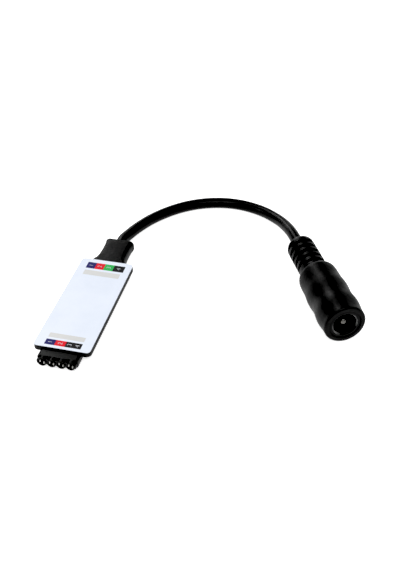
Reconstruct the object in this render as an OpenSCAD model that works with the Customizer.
// In-line controller for a four-wire light strip: a flat case in two shells with a label on top,
// a four-way pin socket at the near end, and a cable with a moulded power jack at the far end.
// The origin is the centre of the flat underside. The socket faces -Y, the cable leaves towards +Y.

/* [Case] */
// Width of the case across its rim
case_w = 15.5; // [15.2:0.1:20]
// Length of the case between the ends of its rim
case_l = 38.6; // [38.4:0.1:50]
// Height of the case under the label
case_h = 3.9; // [3.75:0.05:6]
// Radius of the rim's corners
corner_r = 1.5; // [1.4:0.1:3]
// Height of the rim
rim_h = 1.4; // [1.1:0.05:2]
// Thickness of the rim's wall
rim_wall = 0.85; // [0.6:0.05:1]
// Thickness of the top plate
plate_t = 0.5; // [0.4:0.05:0.8]
// Thickness of the floor
floor_t = 0.6; // [0.4:0.05:0.8]
// Step in from the rim to the lower shell at the sides
side_step = 0.4; // [0.2:0.05:0.6]
// Step in from the rim to the lower shell at the ends
end_step = 0.6; // [0.3:0.05:0.7]
// Lean of the lower shell's sides from shoulder to foot
side_draft_w = 0.8; // [0.4:0.05:1.2]
// Lean of the lower shell's ends from shoulder to foot
end_draft_l = 2.8; // [2:0.1:3.2]
// Thickness of the lower shell's side wall at its foot
side_wall = 0.7; // [0.5:0.05:0.8]
// Thickness of the lower shell's end wall, measured level
end_wall = 1.1; // [0.8:0.05:1.3]
// Clear height between the board and the top plate
headroom = 1.7; // [1.6:0.05:1.75]

/* [Label] */
// Thickness of the label
label_t = 0.1; // [0.05:0.01:0.2]
// Bare margin round the label
label_margin = 0.12; // [0.1:0.02:1]
// Radius of the label's corners
label_r = 1.1; // [0.5:0.1:2]

/* [Circuit board] */
// Thickness of the board
board_t = 0.8; // [0.6:0.05:0.9]
// Radius of the pegs that the board sits on
peg_r = 0.5; // [0.4:0.05:0.6]
// Radius of the posts that carry and hold the board
post_r = 0.75; // [0.7:0.05:0.9]
// Thickness of a chip's or a contact's leads
lead_t = 0.2; // [0.15:0.01:0.25]

/* [Output socket] */
// Distance between two contacts
pitch = 2.54; // [2.5:0.01:2.6]
// Width of the socket's bar
socket_w = 10.9; // [10.6:0.1:11]
// Height of the socket
socket_h = 2.5; // [2.4:0.05:2.5]
// Length of the socket in front of the case
socket_out = 3.85; // [3.2:0.05:6]
// Length of the socket inside the case
socket_in = 4.7; // [4.5:0.1:5.2]
// Length of the round barrels in front of the bar
barrel_l = 1.2; // [1:0.1:2]
// Radius of the hole in each barrel
barrel_hole_r = 0.9; // [0.88:0.01:1]
// Thickness of a contact's two tines
tine_t = 0.28; // [0.2:0.01:0.3]

/* [Strain relief] */
// Width of the block at its waist
gland_w = 8; // [7:0.1:9]
// Height of the block
gland_h = 3.8; // [3.75:0.05:3.85]
// Length of the block behind the case
gland_l = 11.3; // [8:0.1:16]
// Width of the neck that passes through the case's end wall
neck_w = 5; // [4:0.1:6]
// Height of that neck
neck_h = 2; // [1.8:0.05:2.1]

/* [Cable] */
// Outer diameter of the cable
cable_d = 3.3; // [2.9:0.1:3.3]

/* [Jack] */
// Place of the jack's mouth, across the case's axis
jack_x = 69.2; // [60:0.1:80]
// Place of the jack's mouth, along the case's axis
jack_y = 4.3; // [0:0.1:10]
// Turn of the jack's mouth about the vertical, counted from -Y
jack_turn = 27; // [0:1:45]
// Largest radius of the moulded body
jack_r = 6; // [5.6:0.1:7]
// Length from the mouth to the shoulder's round
jack_l = 20.2; // [19.5:0.1:26]
// Length of the whole moulding
jack_whole_l = 37.4; // [36:0.1:44]
// Distance between two creases of the body
swell_l = 7.8; // [6:0.1:9]
// Depth of a crease between two swells
swell_d = 0.32; // [0.05:0.01:0.4]
// Radius of the ribbed relief
relief_r = 4; // [3.5:0.05:4.4]
// Distance between two ribs of the relief
rib_pitch = 2.3; // [2:0.05:2.4]
// Width of a slot between two ribs
slot_w = 0.9; // [0.5:0.05:1.1]
// Radius of the insulator inside the moulding
core_r = 4.35; // [4.3:0.05:4.6]
// Radius of the space for the plug
bore_r = 3.1; // [2.9:0.05:3.2]
// Depth of the space for the plug
bore_depth = 10.2; // [9:0.1:11]
// Length of the insulator
core_l = 13; // [12.6:0.1:14]
// Radius of the centre pin
pin_r = 1; // [0.8:0.05:1.2]
// Depth of the pin's tip behind the mouth
pin_sink = 1; // [0.5:0.1:2]
// Width of the spring leaf
leaf_w = 2; // [1.6:0.1:2.2]
// Thickness of the spring leaf
leaf_t = 0.25; // [0.2:0.01:0.3]

/* [Hidden] */
// General clearances and the overrun of cuts
fit_gap = 0.05;
side_gap = 0.15;
over = 0.5;
thin = 0.02;
round_fn = 48;
small_fn = 32;

// Levels of the case, from the top down and from the foot up
plate_z = case_h - plate_t;
shoulder_z = case_h - rim_h;
board_top = plate_z - headroom;
board_z = board_top - board_t;
foot_inset = side_step + side_draft_w;
cavity_w = case_w - 2 * (foot_inset + side_wall);

// Pin socket
ways = 4;
socket_z = plate_z - socket_h / 2;
socket_front = -case_l / 2 - socket_out;
socket_back = -case_l / 2 + socket_in;
bar_front = socket_front + barrel_l;
bar_round = 0.8;
barrel_r = socket_h / 2;
barrel_edge = 0.3;
barrel_groove = 0.15;
barrel_groove_l = 0.4;
web_h = 1.5;
web_sink = 0.25;
web_over = 0.25;
flange_t = 1;
tip_sink = 0.15;
tip_x = 0.49;
throat_x = 0.4;
base_x = 0.58;
throat_l = 2;
tine_l = 4.8;
tine_h = 0.6;
tine_stagger = 0.19;
tine_base_l = 0.5;
tail_w = 0.6;
tail_l = 2.6;

// Strain relief block, its sections as shares of its length, waist width and height
gland_z = case_h - gland_h / 2;
gland_y = case_l / 2 + fit_gap;
gland_corner = 1.4;
gland_place_shares = [0, 0.1, 0.21, 0.41, 0.76, 0.94, 1];
gland_width_shares = [1.38, 1.25, 1.11, 1.03, 1.02, 1.08, 0.97];
gland_height_shares = [1, 1, 1, 1, 1, 1, 0.8];
gland_flange_t = 1.2;
gland_flange_side = 0.8;
gland_flange_rise = 0.2;
gland_flange_w = neck_w + 2 * gland_flange_side;
gland_flange_h = neck_h + 2 * gland_flange_rise;
cavity_end = end_at(floor_t) - end_wall;
gland_flange_y = cavity_end - fit_gap;
neck_sunk = 1.5;
sheath_hold = 9.4;
sheath_y = gland_y + gland_l - sheath_hold;

// Board between the socket and the strain relief
board_gap = 0.4;
board_front = socket_back + board_gap;
board_clear = 1;
board_back = gland_flange_y - gland_flange_t - board_clear;
board_l = board_back - board_front;
board_y = (board_back + board_front) / 2;
board_w = cavity_w - 2 * side_gap;
board_corner = 0.6;
post_x_share = 0.431;

// Cable: its sheath, its two cores and its route on the table
cable_r = cable_d / 2;
core_share = 0.333;
core_x_share = 0.273;
wire_r = cable_d * core_share / 2;
wire_x = cable_d * core_x_share;
wire_z = board_top + wire_r;
strand_share = 0.55;
strand_r = wire_r * strand_share;
strand_l = 1.2;
wire_inset = 0.2;
wire_end = board_back - strand_l - wire_inset;
cable_sides = 8;
// Places of the cable's middle, and how far it lies above the table
cable_points = [
    [0, 33.6, 0.2], [0.6, 36.2, 0], [1.8, 39.6, 0], [3.3, 42.9, 0], [5.1, 46.2, 0], [7.5, 49.6, 0],
    [10.3, 52.8, 0], [13.7, 55.8, 0], [17.5, 58.2, 0], [21.7, 59.9, 0], [26.1, 60.8, 0], [30.5, 60.8, 0],
    [34.7, 59.8, 0.1], [38.7, 58, 0.3], [42.1, 55.2, 0.8], [45.1, 51.6, 1.7], [47.6, 47.4, 2.8],
    [49.5, 43.3, 3.9]
];

// Jack, measured from its mouth inwards
jack_taper = 0.52;
fade_power = 3;
mouth_round = 0.55;
crease_s = 1.4;
swell_steps = 11;
shoulder_round = 2.5;
tail_round = 2.7;
rib_count = 5;
slot_core_r = 2.5;
slot_half_w = 2.7;
slot_tail = 3.95;
well_r = 3.5;
sheath_s = 19;
mouth_chamfer = 0.3;
core_sink = 0.15;
pin_tip_r = 0.5;
shank_r = 0.8;
shank_out = 2;
shank_l = core_l - bore_depth + shank_out;
leaf_gap = 0.25;
hinge_s = 11.5;
hinge_y = 3.65;
contact_s = 4.8;
contact_y = 2.45;
tip_s = 3.1;
tip_y = 3.1;
window_s = 1.2;
ledge_y = 3;
terminal_s = 12;
terminal_end = 16.5;
terminal_w = 1.8;
core_wire_x = 0.75;

// Chips and other small parts, bodies as length, width and height
chip_size = [3.9, 4.9, 1.3];
chip_span = 6;
chip_pitch = 1.27;
radio_size = [3, 3, 0.9];
radio_span = 4.8;
radio_pitch = 0.65;
crystal_size = [3.2, 2.5, 0.75];
regulator_size = [4.5, 2.5, 1.4];
diode_size = [2.7, 1.6, 1.1];
transistor_size = [2.9, 1.3, 1];
transistor_span = 2.4;
transistor_count = 3;
resistor_size = [1.6, 0.8, 0.45];
resistor_count = 5;
capacitor_size = [1.25, 2, 1];
capacitor_step = 2.3;
lead_w = 0.4;
stand_off = 0.08;
cap_share = 0.2;
antenna_r = 0.3;
joint_r = 0.55;
joint_top_share = 0.6;
joint_h = 0.45;

// Rows of parts along the board from the socket to the cable, how deep each is and the gap between two
ROWS = ["tails", "posts", "switches", "resistors", "chip", "radio", "supply", "cores"];
row_l = [tail_l - board_gap, 2 * post_r, transistor_span, resistor_size[1], chip_size[1], radio_size[1],
    regulator_size[1] + lead_w, board_back - wire_end + strand_l];
row_gap = (board_l - start_of(len(row_l))) / (len(row_l) - 1);

// Radius of the jack's body at a depth, with creases that fade out towards the shoulder
function fade(s) = pow(s / jack_l, fade_power);
function crease(s) = swell_d * (1 + cos(360 * max(0, s - crease_s) / swell_l)) / 2;
function body_r(s) = jack_r - jack_taper * fade(s) - crease(s) * (1 - fade(s));

// The jack lies on the first of its swells
jack_z = body_r(crease_s + swell_l / 2);
body_end_r = body_r(jack_l);
shoulder_a = acos((relief_r - body_end_r + shoulder_round) / shoulder_round);
body_steps = floor((jack_l - mouth_round) / swell_l * swell_steps);

// Free width between the parts beside each other in the two rows that the antenna passes
diode_span = diode_size[0] + 2 * lead_w;
radio_lane = (board_w - 2 * antenna_r - radio_span - crystal_size[0]) / 4;
supply_lane = (board_w - 2 * antenna_r - diode_span - regulator_size[0]) / 4;
antenna_x = min(radio_lane, supply_lane) + antenna_r - board_w / 2;

// Number of a row, counted from the socket, and the depth of all the rows before it
function number_of(row) = search([row], ROWS)[0];
function start_of(i) = i == 0 ? 0 : row_l[i - 1] + start_of(i - 1);

// Middle of a row, along the case, and its depth
function row_y(row) =
    let (i = number_of(row))
    board_front + start_of(i) + i * row_gap + row_l[i] / 2;
function depth_of(row) = row_l[number_of(row)];

// Half length of the lower shell at a height
function end_at(z) = case_l / 2 - end_step - end_draft_l * (1 - z / shoulder_z);

// Flat plate outline with round corners
module round_plate(w, l, r) {
    union() {
        square([w - 2 * r, l], center = true);
        square([w, l - 2 * r], center = true);
        for (sx = [-1, 1], sy = [-1, 1]) {
            translate([sx * (w / 2 - r), sy * (l / 2 - r)]) circle(r, $fn = round_fn);
        }
    }
}

// Prism along X from an outline in Y and Z
module along_x(l) {
    rotate([90, 0, 90]) linear_extrude(l, center = true) children();
}

// Prism along Y from an outline in X and Z
module along_y(l) {
    rotate([90, 0, 0]) linear_extrude(l, center = true) children();
}

// Bent strip of even thickness through points, lying in its own plane
module bent_strip(points, t, w) {
    linear_extrude(w, center = true) union() {
        for (p = points) {
            translate(p) circle(t / 2, $fn = small_fn);
        }
        for (i = [0:len(points) - 2]) {
            step = points[i + 1] - points[i];
            translate(points[i]) rotate(atan2(step[1], step[0])) {
                translate([0, -t / 2]) square([norm(step), t]);
            }
        }
    }
}

// Cross-section of the socket's bar, in X and Z about its middle
module bar_section(grow) {
    round_plate(socket_w + 2 * grow, socket_h + 2 * grow, bar_round);
}

// Places of the board's pegs
module at_pegs() {
    for (sx = [-1, 1], row = ["posts", "cores"]) {
        translate([sx * post_x_share * board_w, row_y(row), 0]) children();
    }
}

// A small part on the board, at a place across it in one of its rows
module on_board(x, row) {
    translate([x, row_y(row), board_top]) children();
}

module top_cover() {
    color([0.05, 0.05, 0.05]) {
        difference() {
            translate([0, 0, shoulder_z]) linear_extrude(rim_h) round_plate(case_w, case_l, corner_r);
            translate([0, 0, shoulder_z - over]) linear_extrude(rim_h - plate_t + over) {
                round_plate(case_w - 2 * rim_wall, case_l - 2 * rim_wall, corner_r - rim_wall);
            }
            translate([0, -case_l / 2, socket_z]) along_y(4 * rim_wall) bar_section(fit_gap);
            translate([0, case_l / 2, gland_z]) along_y(4 * rim_wall) {
                square([neck_w + 2 * fit_gap, neck_h + 2 * fit_gap], center = true);
            }
        }
        // Posts that hold the board down, hollow round the pegs
        at_pegs() translate([0, 0, board_top]) difference() {
            cylinder(r = post_r, h = headroom, $fn = small_fn);
            translate([0, 0, -over]) cylinder(r = peg_r + fit_gap, h = headroom / 2 + over, $fn = small_fn);
        }
    }
}

module bottom_cover() {
    shell_w = case_w - 2 * side_step;
    shell_l = case_l - 2 * end_step;
    foot_w = case_w - 2 * foot_inset;
    foot_l = shell_l - 2 * end_draft_l;
    tongue_inset = 2 * (rim_wall + fit_gap);
    tongue_top = plate_z - fit_gap;
    cavity_top = end_at(shoulder_z) - end_wall;
    color([0.06, 0.06, 0.06]) {
        difference() {
            union() {
                intersection() {
                    linear_extrude(shoulder_z) round_plate(shell_w, shell_l, corner_r - side_step);
                    along_y(case_l) polygon([[-foot_w / 2, 0], [foot_w / 2, 0], [shell_w / 2, shoulder_z],
                        [-shell_w / 2, shoulder_z]]);
                    along_x(case_w) polygon([[-foot_l / 2, 0], [foot_l / 2, 0], [shell_l / 2, shoulder_z],
                        [-shell_l / 2, shoulder_z]]);
                }
                // Tongue that the rim closes over
                translate([0, 0, shoulder_z - side_gap]) linear_extrude(tongue_top - shoulder_z + side_gap) {
                    round_plate(case_w - tongue_inset, case_l - tongue_inset, corner_r - rim_wall - fit_gap);
                }
            }
            along_x(cavity_w) polygon([[-cavity_end, floor_t], [cavity_end, floor_t],
                [cavity_top, shoulder_z], [cavity_top, case_h], [-cavity_top, case_h],
                [-cavity_top, shoulder_z]]);
            translate([0, -case_l / 2, socket_z]) along_y(2 * socket_in) bar_section(fit_gap);
            translate([0, -case_l / 2, case_h]) {
                cube([socket_w + 2 * fit_gap, 2 * socket_in, 2 * (case_h - socket_z)], center = true);
            }
            translate([0, case_l / 2, gland_z]) along_y(2 * (case_l / 2 - cavity_end + over)) {
                square([neck_w + 2 * fit_gap, neck_h + 2 * fit_gap], center = true);
            }
        }
        // Pegs with shoulders that carry the board
        at_pegs() {
            translate([0, 0, floor_t]) cylinder(r = post_r, h = board_z - floor_t, $fn = small_fn);
            translate([0, 0, board_z]) cylinder(r = peg_r, h = board_t + headroom / 4, $fn = small_fn);
        }
    }
}

module label() {
    color([0.93, 0.95, 1]) translate([0, 0, case_h]) linear_extrude(label_t) {
        round_plate(case_w - 2 * label_margin, case_l - 2 * label_margin, label_r);
    }
}

module circuit_board() {
    color([0.05, 0.35, 0.15]) difference() {
        translate([0, board_y, board_z]) linear_extrude(board_t) round_plate(board_w, board_l, board_corner);
        at_pegs() translate([0, 0, board_z - over]) {
            cylinder(r = peg_r + fit_gap, h = board_t + 2 * over, $fn = small_fn);
        }
    }
}

// Chip body with bent leads along its two long sides
module chip(size, span, lead_pitch, count) {
    foot = (span - size[0]) / 2;
    translate([-size[0] / 2, -size[1] / 2, stand_off]) cube(size);
    for (side = [-1, 1], i = [0:count - 1]) {
        at = (i - (count - 1) / 2) * lead_pitch;
        translate([side * (size[0] + foot) / 2, at, size[2] / 2]) {
            cube([foot, lead_pitch / 3, lead_t], center = true);
        }
        translate([side * (span - lead_t) / 2, at, size[2] / 4 + lead_t / 4]) {
            cube([lead_t, lead_pitch / 3, size[2] / 2 + lead_t / 2], center = true);
        }
    }
}

module controller_chip() {
    color([0.12, 0.12, 0.13]) on_board(0, "chip") chip(chip_size, chip_span, chip_pitch, 4);
}

module radio_chip() {
    x = 2 * radio_lane + 2 * antenna_r + (radio_span - board_w) / 2;
    color([0.14, 0.14, 0.15]) on_board(x, "radio") chip(radio_size, radio_span, radio_pitch, 4);
}

module crystal() {
    x = (board_w - crystal_size[0]) / 2 - radio_lane;
    color([0.75, 0.76, 0.78]) on_board(x, "radio") {
        linear_extrude(crystal_size[2]) round_plate(crystal_size[0], crystal_size[1], crystal_size[2] / 2);
    }
}

module antenna_wire() {
    front = row_y("radio") - depth_of("radio") / 2;
    back = row_y("supply") + depth_of("supply") / 2;
    color([0.2, 0.3, 0.75]) translate([antenna_x, front, board_top + antenna_r]) {
        rotate([-90, 0, 0]) cylinder(r = antenna_r, h = back - front, $fn = small_fn);
    }
}

module voltage_regulator() {
    x = (board_w - regulator_size[0]) / 2 - supply_lane;
    color([0.13, 0.13, 0.14]) on_board(x, "supply") translate([0, lead_w / 2, 0]) {
        translate([-regulator_size[0] / 2, -regulator_size[1] / 2, 0]) cube(regulator_size);
        for (i = [-1:1]) {
            translate([i * regulator_size[0] / 3, -regulator_size[1] / 2, lead_t / 2]) {
                cube([lead_w, 2 * lead_w, lead_t], center = true);
            }
        }
    }
}

// Small switch with one lead on its far side and two on its near side
module transistor(i) {
    rise = transistor_size[2] / 2;
    foot = (transistor_span - transistor_size[1]) / 2;
    x = (i - 1 - (transistor_count - 1) / 2) * board_w / transistor_count;
    color([0.11, 0.11, 0.12]) on_board(x, "switches") {
        translate([-transistor_size[0] / 2, -transistor_size[1] / 2, stand_off]) cube(transistor_size);
        for (lead = [[-1, -1], [1, -1], [0, 1]]) {
            translate([lead[0] * transistor_size[0] / 3, lead[1] * (transistor_size[1] + foot) / 2,
                rise / 2]) {
                cube([lead_w, foot, rise], center = true);
            }
        }
    }
}

module transistor_1() {
    transistor(1);
}

module transistor_2() {
    transistor(2);
}

module transistor_3() {
    transistor(3);
}

// Block with metal caps at its two ends
module end_capped(size, along) {
    cap = max(size[0], size[1]) * cap_share;
    translate([-size[0] / 2, -size[1] / 2, 0]) cube(size);
    for (side = [-1, 1]) {
        if (along == 0) {
            translate([side * (size[0] - cap) / 2, 0, size[2] / 2]) {
                cube([cap, size[1] + lead_t / 2, size[2]], center = true);
            }
        } else {
            translate([0, side * (size[1] - cap) / 2, size[2] / 2]) {
                cube([size[0] + lead_t / 2, cap, size[2]], center = true);
            }
        }
    }
}

module resistors() {
    color([0.1, 0.1, 0.1]) {
        for (i = [0:resistor_count - 1]) {
            on_board((i - (resistor_count - 1) / 2) * board_w / resistor_count, "resistors") {
                end_capped(resistor_size, 0);
            }
        }
    }
}

module capacitors() {
    color([0.72, 0.6, 0.45]) {
        for (side = [-1, 1], end = [-1, 1]) {
            on_board(side * (board_w + chip_span) / 4, "chip") translate([0, end * capacitor_step / 2, 0]) {
                end_capped(capacitor_size, 1);
            }
        }
    }
}

module polarity_diode() {
    x = 2 * supply_lane + 2 * antenna_r + (diode_span - board_w) / 2;
    color([0.1, 0.1, 0.11]) on_board(x, "supply") {
        translate([-diode_size[0] / 2, -diode_size[1] / 2, 0]) cube(diode_size);
        for (side = [-1, 1]) {
            translate([side * (diode_size[0] + lead_w) / 2, 0, lead_t / 2]) {
                cube([lead_w, 2 * lead_w, lead_t], center = true);
            }
        }
    }
}

// Place of one of the socket's ways, counted from zero
function way_x(i) = (i - (ways - 1) / 2) * pitch;

module at_ways() {
    for (i = [0:ways - 1]) {
        translate([way_x(i), 0, socket_z]) children();
    }
}

// Half profile of one round barrel, radius against the distance behind its front
function barrel_outline() = concat(
    [[0, 0]],
    [for (a = [0:15:90]) [barrel_r - barrel_edge + barrel_edge * sin(a), barrel_edge * (1 - cos(a))]],
    [[barrel_r, barrel_l - barrel_groove_l],
     [barrel_r - barrel_groove, barrel_l - barrel_groove_l + barrel_groove],
     [barrel_r - barrel_groove, barrel_l + over], [0, barrel_l + over]]);

module output_socket() {
    color([0.07, 0.07, 0.07]) difference() {
        union() {
            translate([0, (bar_front + socket_back) / 2, socket_z]) along_y(socket_back - bar_front) {
                bar_section(0);
            }
            at_ways() translate([0, socket_front, 0]) rotate([-90, 0, 0]) {
                rotate_extrude($fn = round_fn) polygon(barrel_outline());
            }
            // Web between the barrels
            translate([0, (socket_front + web_sink + bar_front) / 2, socket_z]) {
                along_y(bar_front - socket_front - web_sink) {
                    round_plate((ways - 1) * pitch + 2 * (barrel_r + web_over), web_h, web_h / 3);
                }
            }
            // Flange that hooks behind the end wall
            translate([0, socket_back - flange_t / 2, socket_z]) along_y(flange_t) {
                square([cavity_w - 2 * side_gap, socket_h - 2 * bar_round], center = true);
            }
        }
        at_ways() translate([0, socket_front - over, 0]) rotate([-90, 0, 0]) {
            cylinder(r = barrel_hole_r, h = socket_back - socket_front + 2 * over, $fn = small_fn);
        }
    }
}

// Stamped fork: two tines that grip a pin, a base across them and a tail on the board
module socket_contact(i) {
    tip = socket_front + tip_sink + tine_t / 2;
    base = tip + tine_l;
    x = way_x(i - 1);
    base_h = socket_z + tine_h / 2 - board_top;
    color([0.8, 0.78, 0.7]) translate([x, 0, 0]) {
        for (side = [-1, 1]) {
            translate([0, 0, socket_z - side * tine_stagger]) {
                bent_strip([[side * tip_x, tip], [side * throat_x, tip + throat_l], [side * base_x, base]],
                    tine_t, tine_h);
            }
        }
        translate([0, base + tine_base_l / 2, board_top + base_h / 2]) {
            cube([2 * base_x + tine_t / 2, tine_base_l, base_h], center = true);
        }
        translate([-tail_w / 2, base, board_top]) cube([tail_w, socket_back + tail_l - base, lead_t]);
    }
}

module socket_contact_1() {
    socket_contact(1);
}

module socket_contact_2() {
    socket_contact(2);
}

module socket_contact_3() {
    socket_contact(3);
}

module socket_contact_4() {
    socket_contact(4);
}

// One thin cross-section of the strain relief block
module gland_slice(i) {
    w = gland_w * gland_width_shares[i];
    h = gland_h * gland_height_shares[i];
    translate([0, gland_y + gland_l * gland_place_shares[i], gland_z]) rotate([90, 0, 0]) {
        linear_extrude(thin) round_plate(w, h, gland_corner);
    }
}

module strain_relief() {
    color([0.06, 0.06, 0.06]) difference() {
        union() {
            intersection() {
                for (i = [0:len(gland_place_shares) - 2]) {
                    hull() {
                        gland_slice(i);
                        gland_slice(i + 1);
                    }
                }
                translate([0, gland_y + gland_l / 2, gland_z]) cube([2 * gland_w, gland_l, 2 * gland_h],
                    center = true);
            }
            translate([0, (gland_flange_y + gland_y + neck_sunk) / 2 - gland_flange_t / 2, gland_z]) {
                cube([neck_w, gland_y + neck_sunk - gland_flange_y + gland_flange_t, neck_h], center = true);
            }
            translate([0, gland_flange_y - gland_flange_t / 2, gland_z]) {
                cube([gland_flange_w, gland_flange_t, gland_flange_h], center = true);
            }
        }
        translate([0, sheath_y, gland_z]) rotate([-90, 0, 0]) {
            cylinder(r = cable_r, h = sheath_hold + over, $fn = round_fn);
        }
        for (side = [-1, 1]) {
            translate([side * wire_x, sheath_y + over, wire_z]) rotate([90, 0, 0]) {
                cylinder(r = wire_r, h = case_l / 2, $fn = small_fn);
            }
        }
    }
}

module cable_end() {
    color([0.08, 0.08, 0.08]) translate([0, sheath_y, gland_z]) rotate([-90, 0, 0]) {
        cylinder(r = cable_r, h = sheath_hold, $fn = round_fn);
    }
}

// Insulated core from the sheath's end to the board, stripped at its tip
module board_wire(side) {
    translate([side * wire_x, sheath_y, wire_z]) rotate([90, 0, 0]) {
        cylinder(r = wire_r, h = sheath_y - wire_end, $fn = small_fn);
        cylinder(r = strand_r, h = sheath_y - wire_end + strand_l, $fn = small_fn);
    }
}

module positive_wire() {
    color([0.75, 0.08, 0.06]) board_wire(1);
}

module negative_wire() {
    color([0.08, 0.08, 0.08]) board_wire(-1);
}

// Cone of solder over a tail or a strand
module solder_cone(r, h) {
    cylinder(r1 = r, r2 = r * joint_top_share, h = h, $fn = small_fn);
}

module solder_joints() {
    wire_joint_h = wire_z + strand_r - board_top + lead_t;
    color([0.78, 0.79, 0.8]) {
        for (i = [0:ways - 1]) {
            difference() {
                translate([way_x(i), socket_back + tail_l - joint_r, board_top]) {
                    solder_cone(joint_r, joint_h);
                }
                translate([way_x(i) - tail_w / 2, socket_back, board_top - over]) {
                    cube([tail_w, tail_l, lead_t + over]);
                }
            }
        }
        for (side = [-1, 1]) {
            difference() {
                translate([side * wire_x, wire_end - strand_l / 2, board_top]) {
                    solder_cone(strand_l / 2, wire_joint_h);
                }
                translate([side * wire_x, wire_end + over, wire_z]) rotate([90, 0, 0]) {
                    cylinder(r = strand_r, h = strand_l + over, $fn = small_fn);
                }
                translate([side * wire_x, wire_end + strand_l, wire_z]) rotate([90, 0, 0]) {
                    cylinder(r = wire_r, h = strand_l, $fn = small_fn);
                }
            }
        }
    }
}

// The cable's route: out of the block, over the table and into the jack
jack_out = [sin(jack_turn), -cos(jack_turn), 0];
jack_rear = [jack_x, jack_y, jack_z] - jack_whole_l * jack_out;
lead_in = 2.2;
route = concat(
    [[0, gland_y + gland_l, gland_z]],
    [for (p = cable_points) [p[0], p[1], cable_r + p[2]]],
    [jack_rear - lead_in * jack_out, jack_rear]);

function unit(v) = v / norm(v);

// Direction of the route at a ring, square to what the cable meets at both ends
function heading(i) =
    i == 0 ? [0, 1, 0]
    : i == len(route) - 1 ? jack_out
    : unit(route[i + 1] - route[i - 1]);

// One ring of the cable, flat side down
function ring(i) =
    let (d = heading(i), side = unit(cross(d, [0, 0, 1])), rise = cross(side, d))
    [for (k = [0:cable_sides - 1])
        let (a = (k + 0.5) * 360 / cable_sides)
        route[i] + cable_r * (cos(a) * side + sin(a) * rise)];

module cable() {
    n = len(route);
    m = cable_sides;
    points = [for (i = [0:n - 1]) each ring(i)];
    walls = [for (i = [0:n - 2], k = [0:m - 1], half = [0, 1])
        half == 0 ? [i * m + k, i * m + (k + 1) % m, (i + 1) * m + (k + 1) % m]
                  : [i * m + k, (i + 1) * m + (k + 1) % m, (i + 1) * m + k]];
    near = [for (k = [1:m - 2]) [0, k + 1, k]];
    far = [for (k = [1:m - 2]) [(n - 1) * m, (n - 1) * m + k, (n - 1) * m + k + 1]];
    color([0.07, 0.07, 0.07]) polyhedron(points, concat(walls, near, far));
}

// Puts a piece of the jack in its place, with its own Z running inwards from the mouth
module at_jack() {
    translate([jack_x, jack_y, jack_z]) rotate([90, 0, 180 + jack_turn]) children();
}

// Half section of the moulding, radius against the depth
function jack_outline() = concat(
    [for (a = [0:15:75]) [body_r(mouth_round) - mouth_round * (1 - sin(a)), mouth_round * (1 - cos(a))]],
    [for (i = [0:body_steps]) let (s = mouth_round + (jack_l - mouth_round) * i / body_steps) [body_r(s), s]],
    [for (a = [10:10:shoulder_a])
        [body_end_r - shoulder_round * (1 - cos(a)), jack_l + shoulder_round * sin(a)]],
    [[relief_r, jack_l + shoulder_round * sin(shoulder_a)]],
    [for (a = [0:15:90]) [relief_r - tail_round * (1 - cos(a)), jack_whole_l - tail_round * (1 - sin(a))]],
    [[cable_r, jack_whole_l], [cable_r, sheath_s], [well_r, sheath_s], [well_r, core_l], [core_r, core_l],
     [core_r, 0]]);

// Slots of the relief, on two opposite sides
module relief_slots(first, turn) {
    rotate([0, 0, turn]) for (i = [0:rib_count - 1]) {
        s = first - i * rib_pitch;
        difference() {
            translate([0, 0, s]) cube([2 * slot_half_w, 4 * relief_r, slot_w], center = true);
            translate([0, 0, s]) cylinder(r = slot_core_r, h = 2 * slot_w, center = true, $fn = small_fn);
        }
    }
}

module jack_body() {
    first = jack_whole_l - slot_tail;
    color([0.05, 0.05, 0.05]) at_jack() difference() {
        rotate_extrude($fn = round_fn) polygon(jack_outline());
        relief_slots(first, 0);
        relief_slots(first + rib_pitch / 2, 90);
    }
}

module jack_core() {
    chamfer_r = bore_r + mouth_chamfer;
    color([0.09, 0.09, 0.09]) at_jack() difference() {
        rotate_extrude($fn = round_fn) polygon([[chamfer_r, core_sink], [core_r, core_sink], [core_r, core_l],
            [shank_r, core_l], [shank_r, bore_depth], [bore_r, bore_depth],
            [bore_r, core_sink + mouth_chamfer]]);
        // Window for the spring leaf, and the slot behind it for the leaf's root and its terminal
        translate([-leaf_w / 2 - leaf_gap, contact_y - leaf_gap, window_s]) {
            cube([leaf_w + 2 * leaf_gap, core_r, bore_depth - window_s]);
        }
        translate([-leaf_w / 2 - leaf_gap, ledge_y, bore_depth - over]) {
            cube([leaf_w + 2 * leaf_gap, core_r, core_l - bore_depth + 2 * over]);
        }
    }
}

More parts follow.
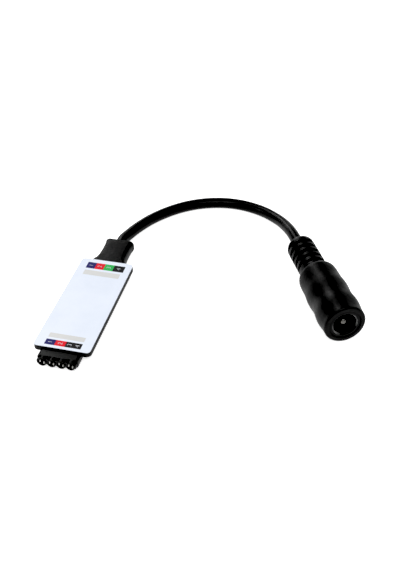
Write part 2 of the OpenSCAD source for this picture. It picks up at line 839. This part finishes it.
module jack_centre_pin() {
    arc_l = pin_r - pin_tip_r;
    color([0.82, 0.8, 0.75]) at_jack() rotate_extrude($fn = small_fn) polygon(concat(
        [[0, pin_sink]],
        [for (a = [0:15:90]) [pin_tip_r + arc_l * sin(a), pin_sink + arc_l * (1 - cos(a))]],
        [[pin_r, bore_depth], [shank_r, bore_depth], [shank_r, bore_depth + shank_l],
         [0, bore_depth + shank_l]]));
}

// Leaf that presses on the plug's barrel and swings out about its root
module jack_spring_leaf() {
    color([0.8, 0.68, 0.4]) at_jack() rotate([0, -90, 0]) {
        bent_strip([[tip_s, tip_y], [contact_s, contact_y + leaf_t / 2], [hinge_s, hinge_y]], leaf_t, leaf_w);
    }
}

module jack_sleeve_terminal() {
    color([0.8, 0.68, 0.4]) at_jack() rotate([0, -90, 0]) {
        bent_strip([[terminal_s + leaf_t, ledge_y + leaf_t / 2], [core_l + leaf_t, ledge_y + leaf_t / 2],
            [core_l + 4 * leaf_t, well_r / 2], [terminal_end, well_r / 2]], leaf_t, terminal_w);
    }
}

module jack_cable_end() {
    color([0.08, 0.08, 0.08]) at_jack() translate([0, 0, sheath_s]) {
        cylinder(r = cable_r, h = jack_whole_l - sheath_s, $fn = round_fn);
    }
}

// Core from the sheath's end to a terminal inside the moulding
module jack_wire(y, end) {
    at_jack() translate([0, y, end]) cylinder(r = wire_r, h = sheath_s - end, $fn = small_fn);
}

module jack_positive_wire() {
    color([0.75, 0.08, 0.06]) jack_wire(-core_wire_x, bore_depth + shank_l + fit_gap);
}

module jack_negative_wire() {
    color([0.1, 0.1, 0.1]) jack_wire(core_wire_x, terminal_end + leaf_t);
}

top_cover();
bottom_cover();
label();
circuit_board();
controller_chip();
radio_chip();
crystal();
antenna_wire();
voltage_regulator();
transistor_1();
transistor_2();
transistor_3();
resistors();
capacitors();
polarity_diode();
output_socket();
socket_contact_1();
socket_contact_2();
socket_contact_3();
socket_contact_4();
strain_relief();
cable_end();
positive_wire();
negative_wire();
solder_joints();
cable();
jack_body();
jack_core();
jack_centre_pin();
jack_spring_leaf();
jack_sleeve_terminal();
jack_cable_end();
jack_positive_wire();
jack_negative_wire();
